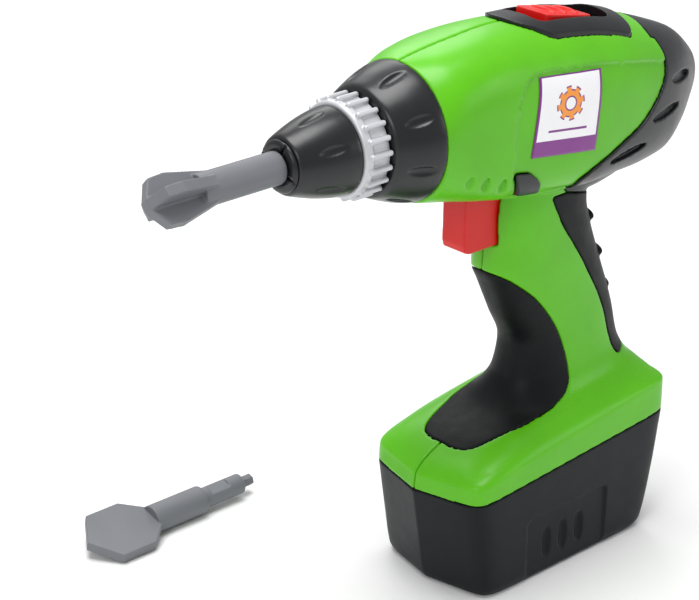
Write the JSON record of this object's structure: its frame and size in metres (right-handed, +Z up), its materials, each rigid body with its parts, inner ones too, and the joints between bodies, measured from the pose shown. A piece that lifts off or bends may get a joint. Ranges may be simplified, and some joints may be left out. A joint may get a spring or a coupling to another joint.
{
  "type": "toy power drill",
  "caption": "Child's pistol-grip toy power drill with a spinning chuck, push-in plastic bits, trigger, direction switch and battery foot",
  "frame": {"origin": "centre of the flat underside of the battery foot", "axes": "+Z up; the chuck points along -X, the left shell is on the -Y side and the right shell on the +Y side"},
  "size_m": [0.222, 0.1176, 0.1815],
  "materials": {
    "green_plastic": "satin bright green moulded ABS",
    "black_plastic": "satin black moulded plastic",
    "grip_plastic": "matt black grip plastic",
    "red_plastic": "bright red moulded plastic",
    "silver_plastic": "silver-painted plastic",
    "grey_plastic": "plain mid-grey moulded plastic",
    "label_paper": "printed self-adhesive label, no lettering",
    "nylon": "natural nylon",
    "steel": "plated steel",
    "brass": "bright brass",
    "cell_jacket": "printed cell jacket, no lettering",
    "wire_black": "black insulated wire",
    "wire_red": "red insulated wire"
  },
  "bodies": {
    "body": {"left_housing": "green_plastic", "right_housing": "green_plastic", "rear_cap": "black_plastic", "front_grip": "grip_plastic", "rear_grip": "grip_plastic", "switch_bezel": "black_plastic", "left_window_plug": "black_plastic", "right_window_plug": "black_plastic", "left_label": "label_paper", "right_label": "label_paper", "trigger_spring": "steel", "trigger_switch": "black_plastic", "direction_contacts": "nylon", "nose_collar": "black_plastic", "spindle_bush": "nylon", "layshaft": "steel", "gearbox_front_plate": "black_plastic", "gearbox_rear_plate": "black_plastic", "motor_can": "steel", "motor_end_cap": "nylon", "battery_case": "black_plastic", "battery_door": "black_plastic", "front_contact": "steel", "rear_contact_left": "steel", "rear_contact_right": "steel", "battery_cell_left": "cell_jacket", "battery_cell_right": "cell_jacket", "door_screw": "steel", "feed_wire": "wire_black", "return_wire": "wire_red", "motor_wire": "wire_black", "housing_screw_1": "steel", "housing_screw_2": "steel", "housing_screw_3": "steel", "housing_screw_4": "steel", "housing_screw_5": "steel"},
    "chuck": {"chuck_sleeve": "black_plastic", "bit_socket": "black_plastic", "spindle": "nylon", "output_gear": "nylon"},
    "torque_ring": {"torque_ring": "silver_plastic"},
    "intermediate_gear": {"intermediate_gear": "nylon"},
    "motor_rotor": {"motor_armature": "steel", "motor_pinion": "brass"},
    "trigger": {"trigger": "red_plastic"},
    "direction_switch": {"direction_switch": "red_plastic"},
    "cross_bit": {"cross_bit": "grey_plastic"},
    "spade_bit": {"spade_bit": "grey_plastic"}
  },
  "joints": [
    {"name": "chuck_spin", "type": "hinge", "parent": "body", "child": "chuck", "pos_m": [-0.07, 0, 0.1555], "axis": [-1, 0, 0], "continuous": true},
    {"name": "intermediate_gear_spin", "type": "hinge", "parent": "body", "child": "intermediate_gear", "pos_m": [-0.004, 0, 0.1435], "axis": [-1, 0, 0], "continuous": true},
    {"name": "motor_spin", "type": "hinge", "parent": "body", "child": "motor_rotor", "pos_m": [0.015, 0, 0.1555], "axis": [-1, 0, 0], "continuous": true},
    {"name": "torque_ring_turn", "type": "hinge", "parent": "body", "child": "torque_ring", "pos_m": [-0.07, 0, 0.1555], "axis": [-1, 0, 0], "range_deg": [-160, 160]},
    {"name": "trigger_pull", "type": "slide", "parent": "body", "child": "trigger", "axis": [1, 0, 0], "range_m": [0, 0.0045], "stiffness_N_per_m": 500, "springref_m": -0.001, "deforming": ["trigger_spring"]},
    {"name": "direction_slide", "type": "slide", "parent": "body", "child": "direction_switch", "axis": [0.9806, 0, -0.196], "range_m": [0, 0.006]},
    {"name": "cross_bit_pull", "type": "slide", "parent": "chuck", "child": "cross_bit", "axis": [-1, 0, 0], "range_m": [0, 0.09]},
    {"name": "spade_bit_lift", "type": "slide", "parent": "body", "child": "spade_bit", "axis": [0, 0, 1], "range_m": [0, 0.1]}
  ],
  "couplings": [
    {"joint": "intermediate_gear_spin", "follows": "chuck_spin", "ratio": -3},
    {"joint": "motor_spin", "follows": "chuck_spin", "ratio": 9}
  ]
}
